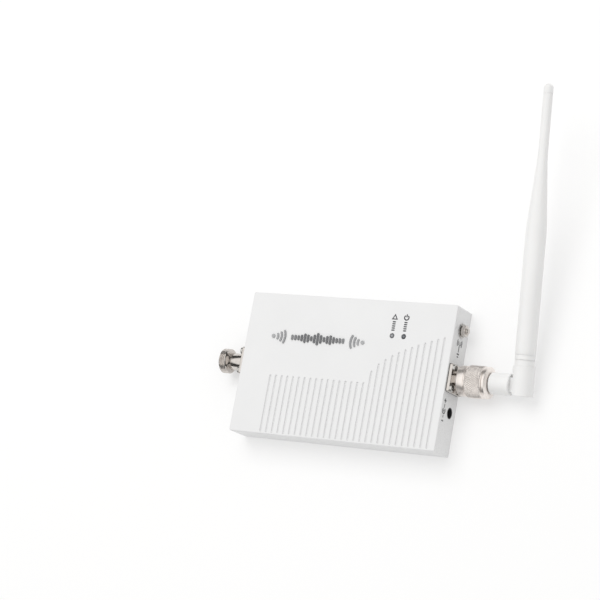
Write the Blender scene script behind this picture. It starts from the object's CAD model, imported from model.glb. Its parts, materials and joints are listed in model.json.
import json
import math

import bpy
from mathutils import Matrix, Vector


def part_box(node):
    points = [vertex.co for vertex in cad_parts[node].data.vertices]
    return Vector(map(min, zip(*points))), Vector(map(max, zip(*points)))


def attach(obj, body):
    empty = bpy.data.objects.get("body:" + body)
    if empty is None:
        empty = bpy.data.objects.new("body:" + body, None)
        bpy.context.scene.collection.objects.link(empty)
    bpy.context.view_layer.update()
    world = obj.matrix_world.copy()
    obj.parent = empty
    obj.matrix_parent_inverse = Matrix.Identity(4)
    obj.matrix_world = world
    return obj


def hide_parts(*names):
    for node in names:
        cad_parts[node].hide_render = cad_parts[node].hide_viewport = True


# Looks of the cellular signal booster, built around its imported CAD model. Metres, in the row frame: the case
# lies face up (+Z), +X runs from the outdoor port to the indoor port, and +Y is the way the whip stands.
# Lengths written in millimetres are multiplied by MM. "Reach" is the distance outwards from a side wall.

MM = 0.001
TAU = 2 * math.pi
# Shares of the floor's paleness that come from its paint and from its own light.
FLOOR_DIFFUSE = 0.57
FLOOR_GLOW = 0.45

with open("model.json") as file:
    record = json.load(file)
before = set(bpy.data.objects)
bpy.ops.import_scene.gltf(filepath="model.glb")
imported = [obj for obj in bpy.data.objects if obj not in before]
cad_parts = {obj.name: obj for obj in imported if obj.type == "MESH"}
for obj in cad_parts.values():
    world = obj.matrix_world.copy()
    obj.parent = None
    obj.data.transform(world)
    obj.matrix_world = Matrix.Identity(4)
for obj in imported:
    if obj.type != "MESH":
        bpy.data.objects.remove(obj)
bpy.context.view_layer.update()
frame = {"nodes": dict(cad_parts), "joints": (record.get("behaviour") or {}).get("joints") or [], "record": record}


# ---------------------------------------------------------------- places read from the frame
def joint(name):
    """The record's joint of that name."""
    return next(j for j in frame["joints"] if j["name"] == name)


CASE_LOW, CASE_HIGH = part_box("housing")
FACE_Z = CASE_HIGH.z
PORT = Vector(joint("nut_turn")["pos_m"])
HINGE = Vector(joint("whip_tilt")["pos_m"])
TILT_AXIS = Vector(joint("whip_tilt")["axis"]).normalized()
WHIP_UP = TILT_AXIS.cross(Vector((1, 0, 0))).normalized()


def axis_frame(origin, axis, start):
    """Matrix whose local z runs along axis and whose local x starts at the direction start."""
    z = Vector(axis).normalized()
    y = z.cross(Vector(start)).normalized()
    x = y.cross(z)
    matrix = Matrix((x, y, z)).transposed().to_4x4()
    matrix.translation = origin
    return matrix


def wall_frame(side, y, z):
    """Matrix on a side wall's outer face: local z outwards, local x along +Y. Side 1 is the indoor wall."""
    wall_x = CASE_HIGH.x if side > 0 else CASE_LOW.x
    return axis_frame(Vector((wall_x, y, z)), (side, 0, 0), (0, 1, 0))


def span_along(node, matrix):
    """Lowest and highest place of a CAD node along a matrix's local z."""
    inverse = matrix.inverted()
    heights = [(inverse @ v.co).z for v in frame["nodes"][node].data.vertices]
    return min(heights), max(heights)


def middle(node):
    """Centre of a CAD node's box."""
    low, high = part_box(node)
    return (low + high) / 2


INDOOR = wall_frame(1, PORT.y, PORT.z)
OUTDOOR = wall_frame(-1, PORT.y, PORT.z)
WHIP = axis_frame(HINGE, WHIP_UP, (1, 0, 0))

# ---------------------------------------------------------------- camera
CAMERA_TARGET = Vector((-44.7, 44.6, 10.0)) * MM
CAMERA_DISTANCE = 1335.3 * MM
CAMERA_AZIMUTH = math.radians(-21.12)
CAMERA_ELEVATION = math.radians(57.35)
CAMERA_ROLL = math.radians(61.6)
CAMERA_LENS = 124.65


def add_camera():
    """Camera at the studied view: azimuth is counted from +X, and the roll leans its top to its right."""
    away = Vector((math.cos(CAMERA_ELEVATION) * math.cos(CAMERA_AZIMUTH),
                   math.cos(CAMERA_ELEVATION) * math.sin(CAMERA_AZIMUTH),
                   math.sin(CAMERA_ELEVATION)))
    level_right = (-away).cross(Vector((0, 0, 1))).normalized()
    level_up = level_right.cross(-away)
    up = math.cos(CAMERA_ROLL) * level_up + math.sin(CAMERA_ROLL) * level_right
    data = bpy.data.cameras.new("camera")
    data.lens = CAMERA_LENS
    data.sensor_width = 36
    data.clip_start = 0.05
    data.clip_end = 50
    camera = bpy.data.objects.new("camera", data)
    bpy.context.scene.collection.objects.link(camera)
    camera.matrix_world = axis_frame(CAMERA_TARGET + CAMERA_DISTANCE * away, away, up.cross(away))
    bpy.context.scene.camera = camera


add_camera()


# ---------------------------------------------------------------- materials
class Look:
    """A material's node tree, with short calls for what the finishes share. Lengths are in metres."""

    def __init__(self, name, colour, roughness, metallic=0.0, specular=0.5):
        self.material = bpy.data.materials.new(name)
        self.material.use_nodes = True
        self.tree = self.material.node_tree
        self.shader = self.tree.nodes["Principled BSDF"]
        self.set("Base Color", (*colour, 1))
        self.set("Roughness", roughness)
        self.set("Metallic", metallic)
        self.set("Specular IOR Level", specular)
        self.place = self.node("ShaderNodeTexCoord").outputs["Object"]
        self.normal = None

    def set(self, socket, value):
        self.shader.inputs[socket].default_value = value

    def node(self, kind, **settings):
        made = self.tree.nodes.new(kind)
        for key, value in settings.items():
            setattr(made, key, value)
        return made

    def link(self, output, target):
        self.tree.links.new(output, target)

    def feed(self, output, socket):
        self.link(output, self.shader.inputs[socket])

    def math(self, operation, first, second=0.0, third=0.0, clamp=False):
        made = self.node("ShaderNodeMath", operation=operation, use_clamp=clamp)
        for slot, value in enumerate((first, second, third)):
            if isinstance(value, (int, float)):
                made.inputs[slot].default_value = value
            else:
                self.link(value, made.inputs[slot])
        return made.outputs[0]

    def noise(self, size, detail=3.0, stretch=(1, 1, 1), kind="noise", roughness=0.55):
        """Noise from about 0 to 1 whose spots are about size across, longer along an axis by its stretch."""
        mapping = self.node("ShaderNodeMapping")
        mapping.inputs["Scale"].default_value = [1 / (size * s) for s in stretch]
        self.link(self.place, mapping.inputs["Vector"])
        if kind == "cells":
            made = self.node("ShaderNodeTexVoronoi")
            self.link(mapping.outputs[0], made.inputs["Vector"])
            made.inputs["Scale"].default_value = 1.0
            return made.outputs["Distance"]
        made = self.node("ShaderNodeTexNoise")
        self.link(mapping.outputs[0], made.inputs["Vector"])
        made.inputs["Scale"].default_value = 1.0
        made.inputs["Detail"].default_value = detail
        made.inputs["Roughness"].default_value = roughness
        return made.outputs["Fac"]

    def ramp(self, fac, low, high, to_low=0.0, to_high=1.0):
        """fac from low..high to to_low..to_high, clamped."""
        made = self.node("ShaderNodeMapRange", clamp=True)
        self.link(fac, made.inputs["Value"])
        made.inputs["From Min"].default_value = low
        made.inputs["From Max"].default_value = high
        made.inputs["To Min"].default_value = to_low
        made.inputs["To Max"].default_value = to_high
        return made.outputs["Result"]

    def mix(self, fac, first, second):
        """Colour between first and second, each a colour or an output."""
        made = self.node("ShaderNodeMix", data_type="RGBA")
        self.link(fac, made.inputs["Factor"])
        for socket, value in ((made.inputs["A"], first), (made.inputs["B"], second)):
            if isinstance(value, tuple):
                socket.default_value = (*value, 1)
            else:
                self.link(value, socket)
        return made.outputs["Result"]

    def round_edges(self, radius):
        """Shades sharp edges as if they had that radius, and returns a mask of them."""
        bevel = self.node("ShaderNodeBevel", samples=6)
        bevel.inputs["Radius"].default_value = radius
        true_normal = self.node("ShaderNodeNewGeometry").outputs["Normal"]
        dot = self.node("ShaderNodeVectorMath", operation="DOT_PRODUCT")
        self.link(bevel.outputs[0], dot.inputs[0])
        self.link(true_normal, dot.inputs[1])
        self.normal = bevel.outputs[0]
        return self.ramp(dot.outputs["Value"], 0.995, 0.85)

    def bump(self, height, depth, strength=1.0):
        """Adds relief of that depth to the shading normal."""
        made = self.node("ShaderNodeBump")
        made.inputs["Distance"].default_value = depth
        made.inputs["Strength"].default_value = strength
        self.link(height, made.inputs["Height"])
        if self.normal is not None:
            self.link(self.normal, made.inputs["Normal"])
        self.normal = made.outputs[0]

    def done(self):
        if self.normal is not None:
            self.feed(self.normal, "Normal")
        return self.material


def shade(colour, factor):
    """The colour, lighter or darker by a factor."""
    return tuple(min(1.0, c * factor) for c in colour)


def case_paint():
    """Satin white powder coat, one colour all over: nearly smooth on the face, grained on the walls."""
    white = (0.76, 0.762, 0.766)
    look = Look("case_paint", white, 0.42)
    edges = look.round_edges(0.75 * MM)
    facing = look.node("ShaderNodeSeparateXYZ")
    look.link(look.node("ShaderNodeTexCoord").outputs["Normal"], facing.inputs[0])
    wall = look.ramp(facing.outputs["Z"], 0.9, 0.4)
    clouds = look.noise(24 * MM, detail=2)
    speckle = look.noise(0.55 * MM, detail=3)
    base = look.mix(look.ramp(clouds, 0.3, 0.7), shade(white, 0.99), shade(white, 1.01))
    grainy = look.mix(look.ramp(speckle, 0.35, 0.65), shade(white, 0.935), shade(white, 1.065))
    coat = look.mix(wall, base, grainy)
    worn = look.math("MULTIPLY", edges, look.ramp(look.noise(2.5 * MM, detail=4), 0.45, 0.75))
    look.feed(look.mix(look.math("MULTIPLY", worn, 0.25), coat, shade(white, 0.95)), "Base Color")
    rough = look.ramp(look.noise(3 * MM, detail=3), 0.25, 0.75, 0.38, 0.48)
    look.feed(look.math("SUBTRACT", rough, look.math("MULTIPLY", edges, 0.08)), "Roughness")
    peel = look.math("MULTIPLY", look.noise(0.9 * MM, detail=2), look.ramp(wall, 0, 1, 0.22, 1.0))
    look.bump(peel, 0.06 * MM)
    return look.done()


def plate_paint():
    """The same powder coat on the pressed base plate, a little rougher."""
    white = (0.76, 0.762, 0.766)
    look = Look("plate_paint", white, 0.5)
    edges = look.round_edges(0.2 * MM)
    speckle = look.ramp(look.noise(0.6 * MM, detail=3), 0.35, 0.65)
    scuffs = look.ramp(look.noise(9 * MM, detail=6, stretch=(1, 4, 1)), 0.58, 0.72)
    base = look.mix(speckle, shade(white, 0.95), shade(white, 1.02))
    look.feed(look.mix(look.math("MAXIMUM", look.math("MULTIPLY", scuffs, 0.3), edges), base,
                       shade(white, 0.9)), "Base Color")
    look.feed(look.ramp(look.noise(2 * MM), 0.3, 0.7, 0.45, 0.58), "Roughness")
    look.bump(look.noise(0.8 * MM, detail=2), 0.05 * MM)
    return look.done()


def turned_metal(name, colour, smooth, rough, axis_stretch=(1, 40, 40), edge=0.12, grain=0.5, depth=0.006):
    """Plated or bare turned metal: fine tool marks round the axis, cloudy tarnish and brighter edges."""
    look = Look(name, colour, rough, metallic=1.0)
    edges = look.round_edges(edge * MM)
    tarnish = look.ramp(look.noise(2.2 * MM, detail=4), 0.3, 0.7)
    marks = look.noise(grain * MM, detail=4, stretch=axis_stretch)
    base = look.mix(tarnish, shade(colour, 0.88), shade(colour, 1.04))
    lined = look.mix(look.ramp(marks, 0.3, 0.7, 0, 0.5), base, shade(colour, 0.84))
    look.feed(look.mix(look.math("MULTIPLY", edges, 0.6), lined, shade(colour, 1.18)), "Base Color")
    worn = look.ramp(look.noise(1.1 * MM, detail=5), 0.25, 0.8, smooth, rough)
    look.feed(look.math("ADD", worn, look.math("MULTIPLY", edges, 0.06)), "Roughness")
    look.bump(marks, depth * MM)
    return look.done()


def emblem_chrome():
    """Smoky polished metal of the raised emblem: dark in the middle, paler at its ends, faintly brushed."""
    smoke, pale = (0.14, 0.142, 0.148), (0.44, 0.445, 0.455)
    look = Look("emblem_chrome", smoke, 0.2, metallic=1.0)
    edges = look.round_edges(0.12 * MM)
    low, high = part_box("emblem")
    along = look.node("ShaderNodeSeparateXYZ")
    look.link(look.place, along.inputs[0])
    half = (high.x - low.x) / 2
    from_middle = look.math("ABSOLUTE", look.math("SUBTRACT", along.outputs["X"], (low.x + high.x) / 2))
    brushed = look.noise(0.12 * MM, detail=3, stretch=(60, 1, 1))
    faded = look.mix(look.ramp(from_middle, 0.35 * half, half), smoke, pale)
    lined = look.mix(look.ramp(brushed, 0.3, 0.7, 0, 0.3), faded, shade(pale, 0.8))
    look.feed(look.mix(look.math("MULTIPLY", edges, 0.35), lined, (0.75, 0.75, 0.76)), "Base Color")
    look.feed(look.ramp(look.noise(1.5 * MM, detail=4), 0.3, 0.7, 0.15, 0.26), "Roughness")
    look.bump(brushed, 0.004 * MM)
    return look.done()


def white_plastic():
    """Moulded white polymer of the antenna: a fine spark texture, slightly softer at worn edges."""
    white = (0.815, 0.815, 0.812)
    look = Look("white_plastic", white, 0.4, specular=0.45)
    look.set("Subsurface Weight", 0.08)
    look.set("Subsurface Radius", (0.0012, 0.0011, 0.001))
    edges = look.round_edges(0.3 * MM)
    flow = look.ramp(look.noise(18 * MM, detail=3, stretch=(1, 3, 1)), 0.3, 0.7)
    base = look.mix(flow, shade(white, 0.975), shade(white, 1.012))
    look.feed(look.mix(look.math("MULTIPLY", edges, 0.3), base, shade(white, 0.93)), "Base Color")
    look.feed(look.ramp(look.noise(1.2 * MM, detail=4), 0.3, 0.7, 0.34, 0.46), "Roughness")
    look.bump(look.noise(0.35 * MM, detail=2), 0.018 * MM)
    return look.done()


def dull_plastic(name, colour, rough=0.55, grain=0.4, edge=0.15, depth=0.02):
    """Moulded plastic, rubber or potting: mottled, fine-grained, paler along its edges."""
    look = Look(name, colour, rough)
    edges = look.round_edges(edge * MM)
    mottle = look.ramp(look.noise(3 * MM, detail=4), 0.3, 0.7)
    base = look.mix(mottle, shade(colour, 0.85), shade(colour, 1.12))
    worn = tuple(0.6 * channel + 0.1 for channel in colour)
    look.feed(look.mix(look.math("MULTIPLY", edges, 0.4), base, worn), "Base Color")
    look.feed(look.ramp(look.noise(0.8 * MM, detail=3), 0.3, 0.7, rough - 0.08, rough + 0.08), "Roughness")
    look.bump(look.noise(grain * MM, detail=2), depth * MM)
    return look.done()


def lamp_lens(name, node, rim, heart):
    """Tinted lamp lens: the chip's cup shows as a paler heart under a clear coat."""
    look = Look(name, rim, 0.12)
    look.set("Coat Weight", 1.0)
    look.set("Coat Roughness", 0.06)
    centre = middle(node)
    offset = look.node("ShaderNodeVectorMath", operation="SUBTRACT")
    look.link(look.place, offset.inputs[0])
    offset.inputs[1].default_value = (centre.x, centre.y, FACE_Z)
    length = look.node("ShaderNodeVectorMath", operation="LENGTH")
    look.link(offset.outputs[0], length.inputs[0])
    cup = look.ramp(length.outputs["Value"], 1.2 * MM, 0.4 * MM)
    haze = look.ramp(look.noise(0.5 * MM, detail=3), 0.3, 0.7)
    look.feed(look.mix(cup, look.mix(haze, shade(rim, 0.8), shade(rim, 1.2)), heart), "Base Color")
    look.feed(look.ramp(look.noise(0.7 * MM), 0.3, 0.7, 0.1, 0.2), "Roughness")
    look.bump(look.noise(0.6 * MM), 0.008 * MM)
    return look.done()


def board():
    """Green solder mask over copper traces, with a scatter of plated vias."""
    green = (0.03, 0.19, 0.09)
    look = Look("board", green, 0.3)
    lanes = look.noise(1.1 * MM, detail=0, stretch=(9, 1, 1))
    traces = look.ramp(lanes, 0.5, 0.53)
    dots = look.ramp(look.noise(2.6 * MM, kind="cells"), 0.16, 0.13)
    copper = look.mix(traces, green, (0.05, 0.27, 0.12))
    look.feed(look.mix(dots, copper, (0.72, 0.66, 0.48)), "Base Color")
    look.feed(look.ramp(look.noise(2 * MM), 0.3, 0.7, 0.25, 0.38), "Roughness")
    look.bump(look.math("ADD", traces, dots), 0.03 * MM)
    return look.done()


def ceramic():
    """Fired ceramic of the duplexer blocks, with silvered patches."""
    clay = (0.62, 0.59, 0.52)
    look = Look("ceramic", clay, 0.35)
    edges = look.round_edges(0.2 * MM)
    silvered = look.ramp(look.noise(7 * MM, detail=1), 0.47, 0.5)
    grain = look.ramp(look.noise(0.4 * MM, detail=3), 0.3, 0.7)
    base = look.mix(grain, shade(clay, 0.92), shade(clay, 1.06))
    coated = look.mix(look.math("MULTIPLY", silvered, 0.8), base, (0.66, 0.66, 0.66))
    look.feed(look.mix(edges, coated, shade(clay, 1.2)), "Base Color")
    look.feed(look.ramp(grain, 0, 1, 0.3, 0.45), "Roughness")
    look.bump(grain, 0.01 * MM)
    return look.done()


def printed_ink():
    """Pad-printed symbols: thin grey ink, a little uneven."""
    ink = (0.045, 0.046, 0.05)
    look = Look("printed_ink", ink, 0.6)
    cover = look.ramp(look.noise(0.25 * MM, detail=4), 0.35, 0.75)
    look.feed(look.mix(cover, ink, shade(ink, 1.9)), "Base Color")
    look.feed(look.ramp(look.noise(0.5 * MM), 0.3, 0.7, 0.5, 0.7), "Roughness")
    look.bump(cover, 0.008 * MM)
    return look.done()


def floor_paint():
    """Plain pale studio floor, partly lit from inside so that the shadows on it stay soft."""
    pale = (0.93, 0.93, 0.93)
    look = Look("studio_floor", shade(pale, FLOOR_DIFFUSE), 0.9, specular=0.0)
    look.feed(look.mix(look.ramp(look.noise(0.2, detail=2), 0.3, 0.7), shade(pale, 0.995 * FLOOR_DIFFUSE),
                       shade(pale, FLOOR_DIFFUSE)), "Base Color")
    look.set("Emission Color", (*pale, 1))
    look.set("Emission Strength", FLOOR_GLOW)
    return look.done()


NICKEL = (0.69, 0.65, 0.615)
MATERIALS = {
    "case_paint": case_paint(),
    "plate_paint": plate_paint(),
    "nickel": turned_metal("nickel", NICKEL, 0.1, 0.2),
    "emblem_chrome": emblem_chrome(),
    "steel_screw": turned_metal("steel_screw", (0.60, 0.59, 0.57), 0.16, 0.3, axis_stretch=(1, 6, 6)),
    "brass": turned_metal("brass", (0.83, 0.64, 0.30), 0.15, 0.28),
    "white_plastic": white_plastic(),
    "black_plastic": dull_plastic("black_plastic", (0.025, 0.025, 0.027), 0.5),
    "ptfe": dull_plastic("ptfe", (0.80, 0.79, 0.75), 0.42, grain=0.8, depth=0.01),
    "rubber": dull_plastic("rubber", (0.05, 0.05, 0.05), 0.75, grain=0.25),
    "alarm_lens": lamp_lens("alarm_lens", "alarm_lamp", (0.13, 0.135, 0.145), (0.36, 0.37, 0.39)),
    "power_lens": lamp_lens("power_lens", "power_lamp", (0.05, 0.055, 0.065), (0.17, 0.18, 0.20)),
    "board": board(),
    "aluminium": turned_metal("aluminium", (0.80, 0.80, 0.81), 0.25, 0.4, axis_stretch=(8, 8, 1)),
    "tinned_sheet": turned_metal("tinned_sheet", (0.68, 0.68, 0.67), 0.22, 0.38, axis_stretch=(30, 1, 1)),
    "ceramic": ceramic(),
    "coil_ferrite": dull_plastic("coil_ferrite", (0.05, 0.048, 0.048), 0.65, grain=0.5),
}
INK = printed_ink()
NUT_FINISH = turned_metal("knurled_nickel", (0.98, 0.91, 0.865), 0.3, 0.42)


def finish_cad_nodes():
    """Every CAD node gets the finish of its own slot in the record."""
    for subpart in frame["record"]["subparts"]:
        node = frame["nodes"][subpart["node"]]
        if not node.material_slots:
            node.data.materials.append(None)
        for held in node.material_slots:
            held.material = MATERIALS[subpart["material_slot"]]


finish_cad_nodes()


# ---------------------------------------------------------------- mesh building
def add_piece(name, vertices, faces, matrix, body, slot, stands_for=(), material=None, sharp=32):
    """A mesh piece placed by a matrix, riding on a body; it stands for the named CAD nodes."""
    mesh = bpy.data.meshes.new(name)
    mesh.from_pydata([matrix @ Vector(v) for v in vertices], [], faces)
    mesh.validate()
    return add_mesh(name, mesh, body, slot, stands_for, material, sharp)


def add_mesh(name, mesh, body, slot, stands_for=(), material=None, sharp=32):
    """A finished mesh, in the row frame, as a piece."""
    mesh.shade_smooth()
    mesh.set_sharp_from_angle(angle=math.radians(sharp))
    mesh.materials.clear()
    mesh.materials.append(material or MATERIALS[slot])
    piece = bpy.data.objects.new(name, mesh)
    bpy.context.scene.collection.objects.link(piece)
    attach(piece, body)
    if stands_for:
        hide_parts(*stands_for)
    return piece


def turned(profile, around, relief=None, closed=True):
    """Vertices and faces of a profile of (height, radius) pairs turned about z.

    relief maps (angle, height, radius) to an added radius. A closed profile is a ring such as a nut;
    an open one starts and ends at radius zero, on the axis.
    """
    rows = profile if closed else profile[1:-1]
    vertices = []
    for height, radius in rows:
        for step in range(around):
            angle = TAU * step / around
            r = radius + (relief(angle, height, radius) if relief else 0.0)
            vertices.append((r * math.cos(angle), r * math.sin(angle), height))
    faces = []
    count = len(rows)
    for row in range(count if closed else count - 1):
        low = row * around
        high = (row + 1) % count * around
        for step in range(around):
            after = (step + 1) % around
            quad = (low + step, low + after, high + after, high + step)
            faces += split_on_crease(quad, vertices) if relief else [quad]
    if not closed:
        for end, row, order in ((profile[0], 0, -1), (profile[-1], count - 1, 1)):
            tip = len(vertices)
            vertices.append((0, 0, end[0]))
            ring = [row * around + step for step in range(around)]
            for step in range(around):
                edge = (ring[step], ring[(step + 1) % around])[::order]
                faces.append((edge[0], edge[1], tip))
    return vertices, faces


def split_on_crease(quad, vertices):
    """The quad as two triangles, cut along the diagonal whose ends are at the most equal radius."""
    radii = [math.hypot(vertices[v][0], vertices[v][1]) for v in quad]
    a, b, c, d = quad
    if abs(radii[0] - radii[2]) <= abs(radii[1] - radii[3]):
        return [(a, b, c), (a, c, d)]
    return [(a, b, d), (b, c, d)]


def rounded(corners, radius, steps=4):
    """A closed profile whose sharp corners become arcs of at most that radius."""
    points = []
    count = len(corners)
    for index, corner in enumerate(corners):
        here = Vector(corner)
        before = Vector(corners[index - 1]) - here
        after = Vector(corners[(index + 1) % count]) - here
        turn = math.pi - before.angle(after)
        if turn < math.radians(4):
            points.append(tuple(here))
            continue
        setback = min(radius * math.tan(turn / 2), 0.45 * before.length, 0.45 * after.length)
        start = here + before.normalized() * setback
        end = here + after.normalized() * setback
        for step in range(steps + 1):
            t = step / steps
            points.append(tuple((1 - t) ** 2 * start + 2 * t * (1 - t) * here + t * t * end))
    return points


def filled_rows(start, end, radius, spacing):
    """Profile rows at one radius, evenly spaced from start to end, both included."""
    count = max(1, round(abs(end - start) / spacing))
    return [(start + (end - start) * i / count, radius) for i in range(count + 1)]


def ridge(turns):
    """Triangle wave: 0 at whole numbers, 1 halfway between."""
    return 1 - abs(2 * (turns % 1.0) - 1)


def thread_relief(pitch, depth, start, end, inside=False):
    """Relief of a right-hand V thread with flat crests, fading out at both ends."""
    def relief(angle, height, radius):
        if not start < height < end:
            return 0.0
        fade = min(1.0, (height - start) / (pitch / 2), (end - height) / (pitch / 2))
        wave = min(1.0, max(0.0, 1.35 * ridge(height / pitch - angle / TAU) - 0.1))
        return (1 if inside else -1) * depth * fade * (1 - wave)
    return relief


def boolean_mesh(base, others, operation):
    """Mesh of base joined with or cut by others, all given as (vertices, faces) in one frame."""
    objects = []
    for vertices, faces in [base, *others]:
        mesh = bpy.data.meshes.new("work")
        mesh.from_pydata(vertices, [], faces)
        made = bpy.data.objects.new("work", mesh)
        bpy.context.scene.collection.objects.link(made)
        objects.append(made)
    for other in objects[1:]:
        modifier = objects[0].modifiers.new("work", "BOOLEAN")
        modifier.operation = operation
        modifier.solver = "EXACT"
        modifier.object = other
    graph = bpy.context.evaluated_depsgraph_get()
    result = bpy.data.meshes.new_from_object(objects[0].evaluated_get(graph))
    for made in objects:
        bpy.data.objects.remove(made)
    return result


def as_lists(mesh):
    """A mesh's vertices and faces as plain lists."""
    return [tuple(v.co) for v in mesh.vertices], [tuple(p.vertices) for p in mesh.polygons]


def plate(outline, levels):
    """Solid from an outline: levels are (height, inset) pairs from bottom to top; inset shrinks about z."""
    vertices = []
    faces = []
    count = len(outline)
    reach = max(math.hypot(x, y) for x, y in outline)
    for height, inset in levels:
        scale = 1 - inset / reach
        vertices += [(x * scale, y * scale, height) for x, y in outline]
    for level in range(len(levels) - 1):
        for step in range(count):
            after = (step + 1) % count
            low, high = level * count, (level + 1) * count
            faces.append((low + step, low + after, high + after, high + step))
    faces.append(tuple(reversed(range(count))))
    faces.append(tuple(range((len(levels) - 1) * count, len(levels) * count)))
    return vertices, faces


def rounded_square(size, corner, steps=6):
    """Outline of a square with round corners."""
    points = []
    for quarter in range(4):
        middle_angle = TAU / 8 + quarter * TAU / 4
        cx = math.copysign(size / 2 - corner, math.cos(middle_angle))
        cy = math.copysign(size / 2 - corner, math.sin(middle_angle))
        for step in range(steps + 1):
            angle = quarter * TAU / 4 + TAU / 4 * step / steps
            points.append((cx + corner * math.cos(angle), cy + corner * math.sin(angle)))
    return points


def moved(shape, dx, dy, dz=0.0):
    """The shape's vertices shifted."""
    vertices, faces = shape
    return [(x + dx, y + dy, z + dz) for x, y, z in vertices], faces


# ---------------------------------------------------------------- ports
INCH_THREAD = 25.4 / 24 * MM
JACK_NECK = 5.5 * MM
JACK_MOUTH_BORE = 4.3 * MM
JACK_REAR_BORE = 3.5 * MM
JACK_REAR = 5.0 * MM
JACK_THREAD = 7.94 * MM
JACK_THREAD_LENGTH = 5.5 * MM
JACK_CAVITY_DEPTH = 9.5 * MM
THREAD_DEPTH = 0.6 * MM
FLANGE = 17.5 * MM
FLANGE_CORNER = 1.0 * MM
FLANGE_FRONT = 2.2 * MM
FLANGE_BACK = 0.4 * MM
FLANGE_BEVEL = 0.25 * MM
FLANGE_HOLE = 1.6 * MM
FLANGE_HOLE_SPACING = 12.7 * MM


def make_jack(name, node, matrix):
    """N jack: square flange with four holes, neck, and a threaded barrel with an open mouth."""
    rear, mouth = span_along(node, matrix)
    start = mouth - JACK_THREAD_LENGTH
    chamfer = 0.6 * MM
    outer = [(rear, JACK_REAR_BORE), (rear, JACK_REAR), (FLANGE_BACK, JACK_REAR), (FLANGE_BACK, JACK_NECK),
             (FLANGE_FRONT + 0.6 * MM, JACK_NECK), (start - 1.2 * MM, JACK_NECK)]
    undercut = [(start - 1.0 * MM, JACK_NECK - 0.1 * MM), (start - 0.1 * MM, JACK_NECK - 0.1 * MM),
                (start, JACK_NECK), (start, JACK_THREAD - chamfer)]
    barrel = filled_rows(start + chamfer, mouth - chamfer, JACK_THREAD, INCH_THREAD / 10)
    inner = [(mouth - 0.1 * MM, JACK_THREAD - chamfer), (mouth, JACK_THREAD - chamfer - 0.15 * MM),
             (mouth, JACK_MOUTH_BORE + 0.3 * MM), (mouth - 0.3 * MM, JACK_MOUTH_BORE),
             (mouth - JACK_CAVITY_DEPTH, JACK_MOUTH_BORE), (mouth - JACK_CAVITY_DEPTH, JACK_REAR_BORE)]
    relief = thread_relief(INCH_THREAD, THREAD_DEPTH, start + chamfer, mouth - chamfer)

    def only_outside(angle, height, radius):
        return relief(angle, height, radius) if radius > JACK_NECK + chamfer else 0.0

    body = turned(outer + undercut + barrel + inner, around=120, relief=only_outside)
    square = plate(rounded_square(FLANGE, FLANGE_CORNER), [
        (FLANGE_BACK, 0.0), (FLANGE_FRONT - FLANGE_BEVEL, 0.0), (FLANGE_FRONT, FLANGE_BEVEL)])
    holes = [turned([(-FLANGE_FRONT, 0), (-FLANGE_FRONT, FLANGE_HOLE), (2 * FLANGE_FRONT, FLANGE_HOLE),
                     (2 * FLANGE_FRONT, 0)], around=32, closed=False)]
    drills = [moved(holes[0], sx * FLANGE_HOLE_SPACING / 2, sy * FLANGE_HOLE_SPACING / 2)
              for sx in (-1, 1) for sy in (-1, 1)]
    middle_hole = turned([(-FLANGE_FRONT, 0), (-FLANGE_FRONT, JACK_REAR - 0.3 * MM),
                          (2 * FLANGE_FRONT, JACK_REAR - 0.3 * MM), (2 * FLANGE_FRONT, 0)],
                         around=64, closed=False)
    drilled = as_lists(boolean_mesh(square, [*drills, middle_hole], "DIFFERENCE"))
    mesh = boolean_mesh(body, [drilled], "UNION")
    mesh.transform(matrix)
    return add_mesh(name, mesh, "unit", "nickel", stands_for=[node])


make_jack("outdoor_jack_threaded", "outdoor_jack", OUTDOOR)
make_jack("indoor_jack_threaded", "indoor_jack", INDOOR)

# ---------------------------------------------------------------- coupling nut and rear collar
NUT_RING = 9.4 * MM
NUT_RING_LENGTH = 5.9 * MM
NUT_KNURL = 10.0 * MM
NUT_KNURL_DEPTH = 0.3 * MM
NUT_BORE = 8.0 * MM
NUT_LIP = 6.9 * MM
NUT_LIP_LENGTH = 0.7 * MM
NUT_THREAD_LENGTH = 8.0 * MM
NUT_BAND = 10.2 * MM
KNURL_TEETH = 54
KNURL_LEAD = 2.2 * MM


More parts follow.
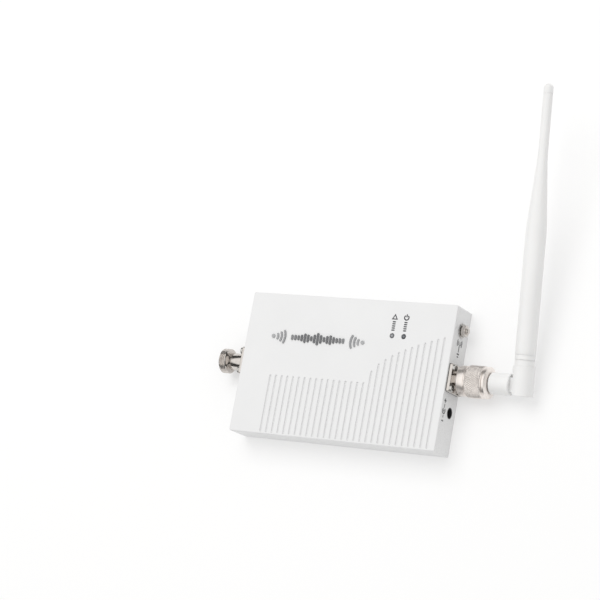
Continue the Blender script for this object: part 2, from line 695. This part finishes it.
def make_coupling_nut():
    """Knurled coupling nut: smooth front ring, then diamond knurling up to its chamfered rear."""
    front, rear = span_along("coupling_nut", INDOOR)
    band_start = front + NUT_RING_LENGTH
    band_end = band_start + NUT_BAND
    edge = 0.35 * MM
    fine = KNURL_LEAD / 8
    ring = [(front, NUT_BORE + 0.5 * MM), (front, NUT_RING - 2 * edge), (front + 0.1 * MM, NUT_RING - edge),
            (front + edge, NUT_RING - 0.3 * edge), (front + 2 * edge, NUT_RING),
            (band_start - 1.1 * MM, NUT_RING), (band_start - 0.9 * MM, NUT_RING - 0.35 * MM),
            (band_start - 0.3 * MM, NUT_RING - 0.35 * MM), (band_start - 0.1 * MM, NUT_RING)]
    knurl = [(band_start, NUT_KNURL - NUT_KNURL_DEPTH - 0.05 * MM)]
    knurl += filled_rows(band_start + edge, band_end - edge, NUT_KNURL - NUT_KNURL_DEPTH, fine)
    knurl += [(band_end, NUT_KNURL - NUT_KNURL_DEPTH - 0.05 * MM)]
    rim = [(band_end + 0.15 * MM, NUT_KNURL - 0.55 * MM), (rear - 0.2 * MM, NUT_KNURL - 0.75 * MM),
           (rear, NUT_KNURL - 1.1 * MM),
           (rear, NUT_LIP + 0.2 * MM), (rear - 0.2 * MM, NUT_LIP), (rear - NUT_LIP_LENGTH, NUT_LIP),
           (rear - NUT_LIP_LENGTH, NUT_BORE), (front + NUT_THREAD_LENGTH + 1.0 * MM, NUT_BORE)]
    bore = filled_rows(front + NUT_THREAD_LENGTH, front + 0.5 * MM, NUT_BORE, INCH_THREAD / 6)
    cut = thread_relief(INCH_THREAD, THREAD_DEPTH, front + 0.5 * MM, front + NUT_THREAD_LENGTH, inside=True)

    def relief(angle, height, radius):
        if radius <= NUT_BORE:
            return cut(angle, height, radius)
        if not band_start + 0.5 * edge < height < band_end - 0.5 * edge:
            return 0.0
        turn = KNURL_TEETH * angle / TAU
        along = (height - band_start) / KNURL_LEAD
        return NUT_KNURL_DEPTH * min(1.0, 1.5 * min(ridge(turn + along), ridge(turn - along)))

    vertices, faces = turned(ring + knurl + rim + bore, around=4 * KNURL_TEETH, relief=relief)
    add_piece("knurled_coupling_nut", vertices, faces, INDOOR, "nut", "nickel", ["coupling_nut"], NUT_FINISH,
              sharp=28)


def make_rear_collar():
    """Polished collar behind the nut, crimped down onto the swivel."""
    front, rear = span_along("rear_collar", INDOOR)
    wide, small, neck, bore = 9.8 * MM, 7.6 * MM, 6.6 * MM, 4.95 * MM
    step_back = rear - 0.4 * MM
    corners = [(front, neck), (front, wide), (front + 1.7 * MM, wide), (rear, small), (rear, bore),
               (step_back, bore), (step_back, neck)]
    vertices, faces = turned(rounded(corners, 0.35 * MM), around=96)
    add_piece("polished_rear_collar", vertices, faces, INDOOR, "plug", "nickel", ["rear_collar"], NUT_FINISH)


make_coupling_nut()
make_rear_collar()

# ---------------------------------------------------------------- whip
TUBE = 6.3 * MM
TUBE_BORE = 4.8 * MM
ROD = 2.95 * MM
ROD_BORE = 1.6 * MM
CONE_START = 95 * MM
CONE_END = 138 * MM
BLEND = 11 * MM


def whip_radius(height):
    """Outer radius of the whip: tube, long taper, thin rod, with the two bends eased over BLEND."""
    total = 0.0
    samples = 15
    for sample in range(samples):
        h = height + BLEND * (sample / (samples - 1) - 0.5)
        share = min(1.0, max(0.0, (h - CONE_START) / (CONE_END - CONE_START)))
        total += TUBE + (ROD - TUBE) * share
    return total / samples


def make_whip_tube():
    """One-piece moulded sheath of the whip, hollow, with a rounded shoulder where it seats."""
    low, high = span_along("whip_tube", WHIP)
    outer = [(low, TUBE - 0.3 * MM), (low + 0.1 * MM, TUBE - 0.12 * MM), (low + 0.3 * MM, TUBE)]
    rows = 60
    for row in range(1, rows + 1):
        height = low + 0.3 * MM + (high - 0.2 * MM - low - 0.3 * MM) * row / rows
        outer.append((height, whip_radius(height)))
    outer += [(high, ROD - 0.15 * MM), (high, ROD_BORE)]
    bore = [(CONE_END, ROD_BORE), (CONE_START, TUBE_BORE), (low, TUBE_BORE)]
    vertices, faces = turned(outer + bore, around=96)
    add_piece("whip_sheath", vertices, faces, WHIP, "whip", "white_plastic", ["whip_tube"])


make_whip_tube()

# ---------------------------------------------------------------- ground terminal
M4_PITCH = 0.7 * MM
M4_DEPTH = 0.38 * MM
STUD = 2.0 * MM
STUD_HEAD = 3.6 * MM
STUD_HEAD_HEIGHT = 2.0 * MM
WASHER = 4.6 * MM
WASHER_TEETH = 12
NUT_FLAT = 3.3 * MM


def make_ground_terminal():
    """M4 stud with its thread, a hexagon nut with turned corners, and a toothed lock washer."""
    place = middle("ground_nut")
    matrix = wall_frame(1, place.y, place.z)
    low, high = span_along("ground_screw", matrix)
    profile = [(low, 0), (low, STUD_HEAD - 0.3 * MM), (low + 0.3 * MM, STUD_HEAD),
               (low + STUD_HEAD_HEIGHT, STUD_HEAD), (low + STUD_HEAD_HEIGHT, STUD)]
    profile += filled_rows(low + STUD_HEAD_HEIGHT + 0.1 * MM, high - 0.5 * MM, STUD, M4_PITCH / 7)
    profile += [(high, STUD - 0.5 * MM), (high, 0)]
    cut = thread_relief(M4_PITCH, M4_DEPTH, 0.0, high - 0.45 * MM)
    vertices, faces = turned(profile, around=48, relief=cut, closed=False)
    add_piece("ground_stud_threaded", vertices, faces, matrix, "unit", "nickel", ["ground_screw"])

    low, high = span_along("ground_nut", matrix)
    rim = NUT_FLAT * 0.97
    around = 72
    vertices = []
    for step in range(around):
        angle = TAU * step / around
        to_flat = (angle + TAU / 12) % (TAU / 6) - TAU / 12
        hexagon = NUT_FLAT / math.cos(to_flat)
        drop = max(0.0, hexagon - rim) * math.tan(math.radians(30))
        for radius, height in ((STUD, low), (rim, low), (hexagon, low + drop), (hexagon, high - drop),
                               (rim, high), (STUD + 0.35 * MM, high), (STUD, high - 0.35 * MM)):
            vertices.append((radius * math.cos(angle), radius * math.sin(angle), height))
    faces = []
    ring = 7
    for step in range(around):
        here, after = step * ring, (step + 1) % around * ring
        for row in range(ring):
            up = (row + 1) % ring
            faces.append((here + row, after + row, after + up, here + up))
    add_piece("ground_nut_turned", vertices, faces, matrix, "unit", "nickel", ["ground_nut"], sharp=20)

    low, high = span_along("ground_washer", matrix)
    steps = 10
    root = WASHER * 0.80
    body_height = (high - low) * 0.55
    vertices = []
    around = WASHER_TEETH * steps
    for step in range(around):
        angle = TAU * step / around
        along = step % steps / steps
        tooth = 1.0 if along < 0.62 else 0.0
        twist = (along / 0.62 - 0.5) * (high - low - body_height) * tooth
        tip = WASHER if tooth else root
        base = low + (high - low - body_height) / 2
        for radius, height in ((STUD + 0.1 * MM, base), (root * 0.98, base), (tip, base + twist),
                               (tip, base + body_height + twist), (root * 0.98, base + body_height),
                               (STUD + 0.1 * MM, base + body_height)):
            vertices.append((radius * math.cos(angle), radius * math.sin(angle), height))
    faces = []
    ring = 6
    for step in range(around):
        here, after = step * ring, (step + 1) % around * ring
        for row in range(ring):
            up = (row + 1) % ring
            faces.append((here + row, after + row, after + up, here + up))
    add_piece("ground_washer_toothed", vertices, faces, matrix, "unit", "steel_screw", ["ground_washer"],
              sharp=20)


make_ground_terminal()

# ---------------------------------------------------------------- printed symbols
INK_THICKNESS = 0.04 * MM
LINE = 0.5 * MM


def bar(x, y, length, width=LINE, turn=0.0):
    """Outline of a straight stroke with round ends, centred on x, y; turn is its angle from local x."""
    points = []
    for end in (1, -1):
        for step in range(9):
            angle = -TAU / 4 + TAU / 2 * step / 8 + (0 if end > 0 else TAU / 2)
            px = end * (length - width) / 2 + width / 2 * math.cos(angle)
            py = width / 2 * math.sin(angle)
            points.append((x + px * math.cos(turn) - py * math.sin(turn),
                           y + px * math.sin(turn) + py * math.cos(turn)))
    return points


def arc_band(x, y, radius, start, end, width=LINE):
    """Outline of an arc stroke from angle start to end, in degrees, with flat ends."""
    steps = max(6, round(abs(end - start) / 10))
    points = []
    for r, order in ((radius + width / 2, 1), (radius - width / 2, -1)):
        row = [(x + r * math.cos(math.radians(start + (end - start) * s / steps)),
                y + r * math.sin(math.radians(start + (end - start) * s / steps))) for s in range(steps + 1)]
        points += row[::order]
    return points


def disc(x, y, radius):
    """Outline of a filled dot."""
    return [(x + radius * math.cos(TAU * s / 24), y + radius * math.sin(TAU * s / 24)) for s in range(24)]


def triangle(x, y, size):
    """Outline of an upright triangle."""
    return [(x + size * math.cos(TAU * (s / 3 + 0.25)), y + size * math.sin(TAU * (s / 3 + 0.25)))
            for s in range(3)]


def plus(x, y, size, width=LINE):
    """Outline of a plus sign."""
    h, w = size / 2, width / 2
    return [(x + px, y + py) for px, py in ((h, w), (w, w), (w, h), (-w, h), (-w, w), (-h, w), (-h, -w),
                                            (-w, -w), (-w, -h), (w, -h), (w, -w), (h, -w))]


def add_print(name, outlines, matrix):
    """Printed symbol: closed outlines in a surface's local x, y, where an inner outline is a hole."""
    curve = bpy.data.curves.new(name, "CURVE")
    curve.dimensions = "2D"
    curve.fill_mode = "BOTH"
    curve.extrude = INK_THICKNESS / 2
    for outline in outlines:
        spline = curve.splines.new("POLY")
        spline.points.add(len(outline) - 1)
        for point, (x, y) in zip(spline.points, outline):
            point.co = (x, y, 0, 1)
        spline.use_cyclic_u = True
    drawn = bpy.data.objects.new(name, curve)
    bpy.context.scene.collection.objects.link(drawn)
    graph = bpy.context.evaluated_depsgraph_get()
    mesh = bpy.data.meshes.new_from_object(drawn.evaluated_get(graph))
    bpy.data.objects.remove(drawn)
    mesh.transform(matrix @ Matrix.Translation((0, 0, INK_THICKNESS / 2)))
    add_mesh(name, mesh, "unit", "case_paint", material=INK)


def ticks(start, end, count, length, width):
    """Outlines of short dashes, evenly spaced along local y."""
    return [bar(0, start + (end - start) * i / (count - 1), length, width) for i in range(count)]


def make_face_prints():
    """Over each lamp: a ladder of short ticks, then a warning triangle or a power symbol."""
    for node, name in (("alarm_lamp", "alarm_symbol"), ("power_lamp", "power_symbol")):
        lamp = middle(node)
        matrix = axis_frame(Vector((lamp.x, lamp.y, FACE_Z)), (0, 0, 1), (1, 0, 0))
        symbol_y = 12.0 * MM
        shapes = ticks(3.6 * MM, 8.9 * MM, 5, 2.3 * MM, 0.8 * MM)
        if node == "alarm_lamp":
            shapes += [triangle(0, symbol_y - 0.4 * MM, size * MM) for size in (2.5, 1.2)]
        else:
            shapes += [arc_band(0, symbol_y, 1.5 * MM, 125, 415, 0.8 * MM),
                       bar(0, symbol_y + 1.2 * MM, 2.1 * MM, 0.8 * MM, TAU / 4)]
        add_print(name, shapes, matrix)


def make_wall_prints():
    """On the walls: an aerial with its waves by each port, and the supply's polarity by the inlet."""
    nut = middle("ground_nut")
    between = (nut.y + PORT.y + FLANGE / 2) / 2
    for side, name in ((1, "indoor_aerial_symbol"), (-1, "outdoor_aerial_symbol")):
        matrix = wall_frame(side, between, PORT.z)
        shapes = [bar(0, 0, 5.2 * MM, 0.9 * MM), disc(3.1 * MM, 0, 0.8 * MM)]
        for radius in (1.9 * MM, 3.3 * MM):
            for turn in (90, 270):
                shapes.append(arc_band(3.1 * MM, 0, radius, turn - 38, turn + 38, 0.8 * MM))
        shapes += [bar(-3.6 * MM, 0, 3.4 * MM, 0.9 * MM, TAU / 4),
                   bar(-5.3 * MM, 0, 2.0 * MM, 0.8 * MM, TAU / 4)]
        add_print(name, shapes, matrix)
    inlet = middle("inlet_pin")
    matrix = wall_frame(1, inlet.y, FACE_Z - 4.0 * MM)
    signs = [disc(0, 0, 0.75 * MM), arc_band(0, 0, 1.75 * MM, 40, 320, 0.75 * MM),
             bar(3.0 * MM, 0, 2.6 * MM, 0.7 * MM), plus(6.2 * MM, 0, 2.6 * MM, 0.8 * MM),
             bar(-3.4 * MM, 0, 1.8 * MM, 0.7 * MM), bar(-6.2 * MM, 0, 2.6 * MM, 0.8 * MM, TAU / 4)]
    add_print("supply_polarity_symbol", signs, matrix)


make_face_prints()
make_wall_prints()


# ---------------------------------------------------------------- floor, lights and surroundings
FLOOR_SIZE = 8.0
FLOOR_GAP = 0.02 * MM
# Height of the direction where the surroundings start and stop brightening, then their strengths there.
SKY_FOR_LIGHT = (0.15, 0.62, 0.70, 0.82)
SKY_FOR_GLOSS = (0.46, 0.62, 0.05, 1.12)
KEY_PLACE = Vector((-0.35, 0.75, 1.75))
KEY_SIZE = 1.4
KEY_POWER = 15.0


def add_floor():
    """Plain pale floor under the unit."""
    half = FLOOR_SIZE / 2
    mesh = bpy.data.meshes.new("floor")
    corners = [(-half, -half, 0), (half, -half, 0), (half, half, 0), (-half, half, 0)]
    mesh.from_pydata(corners, [], [(0, 1, 2, 3)])
    mesh.materials.append(floor_paint())
    floor = bpy.data.objects.new("floor", mesh)
    floor.location.z = -FLOOR_GAP
    bpy.context.scene.collection.objects.link(floor)


def add_sky():
    """Soft surroundings, brightest overhead.

    Rays that light the unit, rays mirrored by it and rays seen directly each get their own:
    a gentle dome, one with a dark horizon, and plain white.
    """
    world = bpy.data.worlds.new("studio")
    bpy.context.scene.world = world
    world.use_nodes = True
    tree = world.node_tree
    tree.nodes.clear()
    split = tree.nodes.new("ShaderNodeSeparateXYZ")
    tree.links.new(tree.nodes.new("ShaderNodeTexCoord").outputs["Generated"], split.inputs[0])
    path = tree.nodes.new("ShaderNodeLightPath")

    def dome(start, end, low, high):
        """Background whose strength rises smoothly with the height of the direction."""
        rise = tree.nodes.new("ShaderNodeMapRange")
        rise.interpolation_type = "SMOOTHSTEP"
        tree.links.new(split.outputs["Z"], rise.inputs["Value"])
        for socket, value in zip(("From Min", "From Max", "To Min", "To Max"), (start, end, low, high)):
            rise.inputs[socket].default_value = value
        made = tree.nodes.new("ShaderNodeBackground")
        made.inputs["Color"].default_value = (1, 0.995, 0.985, 1)
        tree.links.new(rise.outputs["Result"], made.inputs["Strength"])
        return made.outputs[0]

    def choose(ray, otherwise, chosen):
        mixed = tree.nodes.new("ShaderNodeMixShader")
        tree.links.new(path.outputs[ray], mixed.inputs["Fac"])
        tree.links.new(otherwise, mixed.inputs[1])
        tree.links.new(chosen, mixed.inputs[2])
        return mixed.outputs[0]

    seen = tree.nodes.new("ShaderNodeBackground")
    seen.inputs["Color"].default_value = (1, 1, 1, 1)
    lighting = dome(*SKY_FOR_LIGHT)
    mirrored = dome(*SKY_FOR_GLOSS)
    output = tree.nodes.new("ShaderNodeOutputWorld")
    tree.links.new(choose("Is Camera Ray", choose("Is Glossy Ray", lighting, mirrored), seen.outputs[0]),
                   output.inputs["Surface"])


def add_softbox(name, place, target, size, power):
    """Square area light aimed at a point."""
    data = bpy.data.lights.new(name, "AREA")
    data.size = size
    data.energy = power
    lamp = bpy.data.objects.new(name, data)
    bpy.context.scene.collection.objects.link(lamp)
    lamp.matrix_world = axis_frame(place, place - target, (1, 0, 0))
    lamp.visible_glossy = False


add_floor()
add_sky()
add_softbox("key_softbox", KEY_PLACE, Vector((0, 0, 0)), KEY_SIZE, KEY_POWER)
bpy.context.scene.view_settings.view_transform = "Standard"
